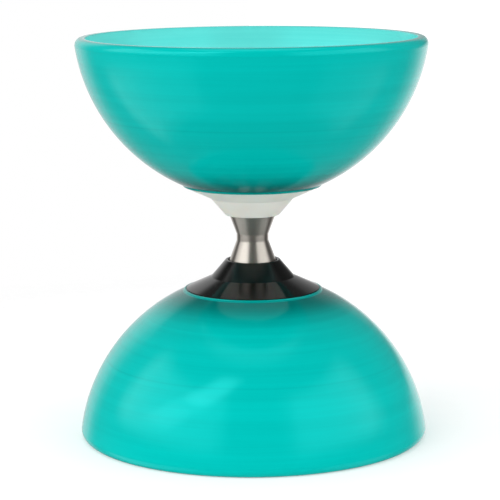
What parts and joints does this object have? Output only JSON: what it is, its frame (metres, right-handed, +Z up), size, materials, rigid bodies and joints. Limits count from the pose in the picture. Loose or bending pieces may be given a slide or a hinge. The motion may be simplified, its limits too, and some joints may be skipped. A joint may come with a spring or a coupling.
{
  "type": "diabolo",
  "caption": "Bearing diabolo: two glossy cups back to back on an axle, with a free-turning waisted steel sleeve for the string.",
  "frame": {"origin": "centre of the lower cup's rim, on the plane that it stands on", "axes": "+Z up the axle from the lower cup to the upper cup; X and Y are alike, and +X lies across a nut's corners"},
  "size_m": [0.125, 0.125, 0.1438],
  "materials": {
    "cup": "gloss",
    "hub_black": "gloss",
    "hub_white": "gloss",
    "sleeve_steel": "satin",
    "axle_steel": "satin",
    "clamp_washer": "satin",
    "zinc_hardware": "satin",
    "nylon": "matte",
    "bearing_steel": "polished",
    "shield_steel": "satin",
    "cage_nylon": "matte"
  },
  "bodies": {
    "cups": {"axle_rod": "axle_steel", "lower_cup": "cup", "lower_hub": "hub_black", "lower_clamp_washer": "clamp_washer", "lower_washer": "zinc_hardware", "lower_lock_nut": "zinc_hardware", "lower_nut_insert": "nylon", "lower_spacer": "zinc_hardware", "lower_bearing_inner_ring": "bearing_steel", "upper_cup": "cup", "upper_hub": "hub_white", "upper_clamp_washer": "clamp_washer", "upper_washer": "zinc_hardware", "upper_lock_nut": "zinc_hardware", "upper_nut_insert": "nylon", "upper_spacer": "zinc_hardware", "upper_bearing_inner_ring": "bearing_steel"},
    "sleeve": {"axle_sleeve": "sleeve_steel", "clutch_shell": "shield_steel", "clutch_cage": "cage_nylon", "clutch_rollers": "bearing_steel", "clutch_springs": "shield_steel", "lower_bearing_outer_ring": "bearing_steel", "lower_bearing_shields": "shield_steel", "upper_bearing_outer_ring": "bearing_steel", "upper_bearing_shields": "shield_steel"},
    "lower_ball_train": {"lower_balls": "bearing_steel", "lower_ball_cage": "cage_nylon"},
    "upper_ball_train": {"upper_balls": "bearing_steel", "upper_ball_cage": "cage_nylon"}
  },
  "joints": [
    {"name": "sleeve_spin", "type": "hinge", "parent": "cups", "child": "sleeve", "pos_m": [0, 0, 0.0719], "axis": [0, 0, 1], "continuous": true},
    {"name": "lower_ball_train_spin", "type": "hinge", "parent": "cups", "child": "lower_ball_train", "pos_m": [0, 0, 0.0632], "axis": [0, 0, 1], "continuous": true},
    {"name": "upper_ball_train_spin", "type": "hinge", "parent": "cups", "child": "upper_ball_train", "pos_m": [0, 0, 0.0806], "axis": [0, 0, 1], "continuous": true}
  ],
  "couplings": [
    {"joint": "lower_ball_train_spin", "follows": "sleeve_spin", "ratio": 0.60526},
    {"joint": "upper_ball_train_spin", "follows": "sleeve_spin", "ratio": 0.60526}
  ]
}
